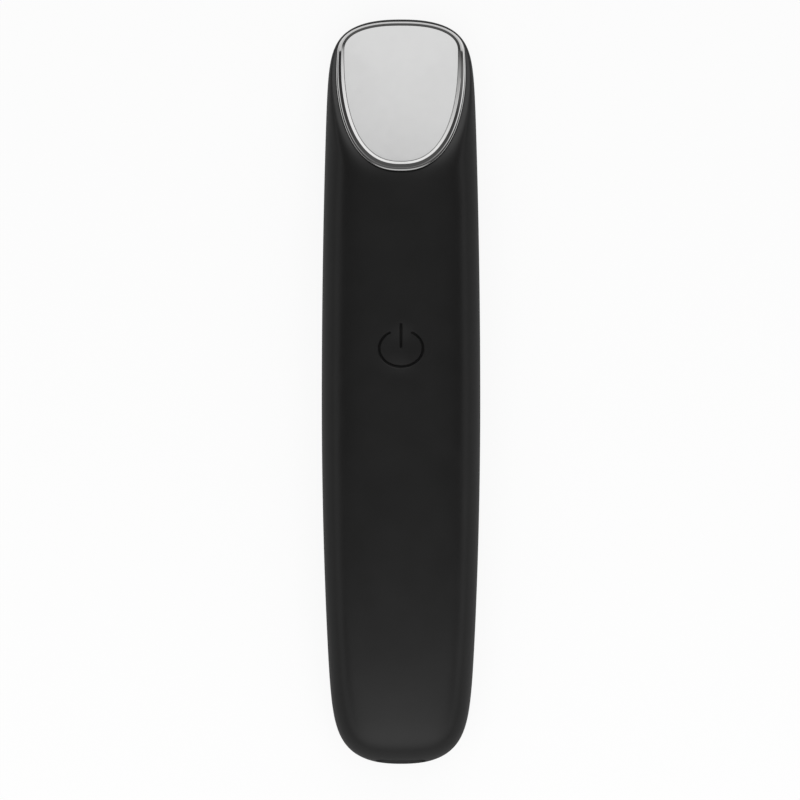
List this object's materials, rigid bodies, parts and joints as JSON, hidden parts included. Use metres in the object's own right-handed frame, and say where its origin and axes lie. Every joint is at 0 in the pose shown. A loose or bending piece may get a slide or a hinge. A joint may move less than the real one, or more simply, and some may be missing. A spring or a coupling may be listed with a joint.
{
  "type": "heated eye massager wand",
  "caption": "Slim handheld wand with a heated metal plate in a chrome ring on its slanted head, a dished power button and a charging inlet in the tail.",
  "frame": {"origin": "middle of the flat back, at the bottom centre of the bounding box", "axes": "X across the wand, +Y from the tail towards the slanted head, +Z out of the front, where the button is; the wand lies on its flat back"},
  "size_m": [0.0298, 0.14, 0.02],
  "materials": {
    "sleeve": "matte soft-touch silicone",
    "shell": "moulded, matte",
    "screws": "zinc-plated",
    "ring": "polished",
    "plate": "smooth satin",
    "heater": "polyimide film",
    "insulation": "silicone foam",
    "sensor": "glass bead",
    "carrier": "heat-resistant, moulded",
    "switch": "stamped",
    "light_guide": "clear moulded",
    "switch_stem": "moulded",
    "motor": "nickel-plated",
    "motor_cap": "moulded",
    "boots": "moulded",
    "shaft": "ground",
    "weight": "sintered",
    "board": "solder mask",
    "chips": "moulded",
    "led": "clear moulded",
    "socket": "drawn",
    "socket_tongue": "moulded",
    "battery": "foil pouch",
    "foam": "foam",
    "leads": "insulated",
    "heater_wire": "insulated"
  },
  "bodies": {
    "casing": {"silicone_sleeve": "sleeve", "front_shell": "shell", "back_shell": "shell", "shell_screws": "screws", "trim_ring": "ring", "massage_plate": "plate", "heater_film": "heater", "insulation_pad": "insulation", "thermistor": "sensor", "head_carrier": "carrier", "head_screws": "screws", "push_switch": "switch", "motor_can": "motor", "motor_end_cap": "motor_cap", "motor_boots": "boots", "main_board": "board", "board_screws": "screws", "charge_controller": "chips", "control_chip": "chips", "power_parts": "chips", "status_led": "led", "usb_shell": "socket", "usb_tongue": "socket_tongue", "battery_cell": "battery", "battery_guard_board": "board", "battery_pads": "foam", "battery_leads": "leads", "motor_leads": "leads", "heater_leads": "heater_wire", "thermistor_leads": "heater_wire"},
    "button": {"button_membrane": "sleeve", "button_plunger": "light_guide", "switch_stem": "switch_stem"},
    "rotor": {"motor_shaft": "shaft", "eccentric_weight": "weight"}
  },
  "joints": [
    {"name": "button_press", "type": "slide", "parent": "casing", "child": "button", "axis": [0, 0, -1], "range_m": [0, 0.0003], "stiffness_N_per_m": 4000},
    {"name": "rotor_spin", "type": "hinge", "parent": "casing", "child": "rotor", "pos_m": [0, 0.0425, 0.00745], "axis": [0, 1, 0], "continuous": true}
  ]
}
